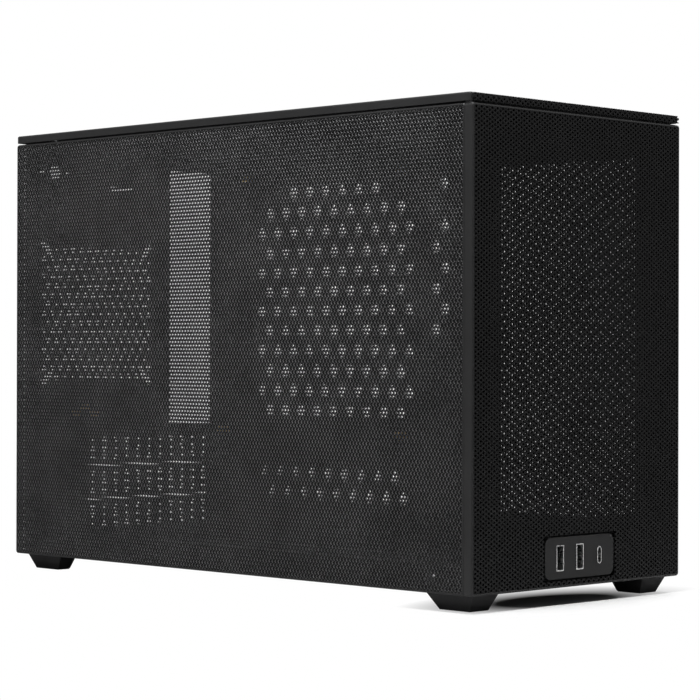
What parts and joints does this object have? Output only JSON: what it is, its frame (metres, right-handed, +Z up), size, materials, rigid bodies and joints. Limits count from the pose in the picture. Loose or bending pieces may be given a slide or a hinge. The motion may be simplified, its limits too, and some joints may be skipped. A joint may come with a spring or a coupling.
{
  "type": "mini itx pc case",
  "caption": "Free-standing computer case with perforated sheet panels that pull off a folded steel chassis.",
  "frame": {"origin": "on the floor under the middle of the case", "axes": "+Z up, +Y towards the rear panel, +X towards the motherboard tray; the front panel faces -Y"},
  "size_m": [0.167, 0.3635, 0.2557],
  "materials": {
    "panel_steel": "fine matt black powder coat",
    "chassis_steel": "matt black powder coat",
    "screw_steel": "blackened steel",
    "stud_steel": "plated steel",
    "clip_plastic": "moulded nylon",
    "port_shell": "nickel-plated steel",
    "port_tongue": "moulded grey plastic",
    "circuit_board": "dark solder mask",
    "brass": "turned brass",
    "foot_rubber": "matt rubber",
    "black_plastic": "fine matt moulded plastic"
  },
  "bodies": {
    "chassis": {"base_plate": "chassis_steel", "board_standoffs": "brass", "foot_front_left": "foot_rubber", "foot_front_right": "foot_rubber", "foot_rear_left": "foot_rubber", "foot_rear_right": "foot_rubber", "front_clips": "clip_plastic", "front_frame": "chassis_steel", "inlet_pins": "brass", "left_clips": "clip_plastic", "mains_inlet": "black_plastic", "motherboard_tray": "chassis_steel", "port_bezel": "black_plastic", "port_board": "circuit_board", "port_posts": "brass", "power_switch": "black_plastic", "rear_panel": "chassis_steel", "right_clips": "clip_plastic", "slot_cover_1": "chassis_steel", "slot_cover_2": "chassis_steel", "slot_cover_3": "chassis_steel", "slot_cover_screws": "screw_steel", "switch_nut": "screw_steel", "top_clips": "clip_plastic", "top_frame": "chassis_steel", "usb_a_shell_left": "port_shell", "usb_a_shell_right": "port_shell", "usb_a_tongue_left": "port_tongue", "usb_a_tongue_right": "port_tongue", "usb_c_shell": "port_shell", "usb_c_tongue": "port_tongue"},
    "left_panel": {"left_side_panel": "panel_steel", "left_studs": "stud_steel"},
    "right_panel": {"right_side_panel": "panel_steel", "right_studs": "stud_steel"},
    "front_cover": {"front_panel": "panel_steel", "front_studs": "stud_steel"},
    "top_lid": {"top_cover": "panel_steel", "top_studs": "stud_steel"},
    "power_key": {"power_button": "black_plastic"}
  },
  "joints": [
    {"name": "left_panel_pull", "type": "slide", "parent": "chassis", "child": "left_panel", "axis": [-1, 0, 0], "range_m": [0, 0.08]},
    {"name": "right_panel_pull", "type": "slide", "parent": "chassis", "child": "right_panel", "axis": [1, 0, 0], "range_m": [0, 0.08]},
    {"name": "front_panel_pull", "type": "slide", "parent": "chassis", "child": "front_cover", "axis": [0, -1, 0], "range_m": [0, 0.08]},
    {"name": "top_cover_lift", "type": "slide", "parent": "chassis", "child": "top_lid", "axis": [0, 0, 1], "range_m": [0, 0.08]},
    {"name": "power_button_press", "type": "slide", "parent": "chassis", "child": "power_key", "axis": [0, -1, 0], "range_m": [0, 0.0015], "stiffness_N_per_m": 600}
  ]
}
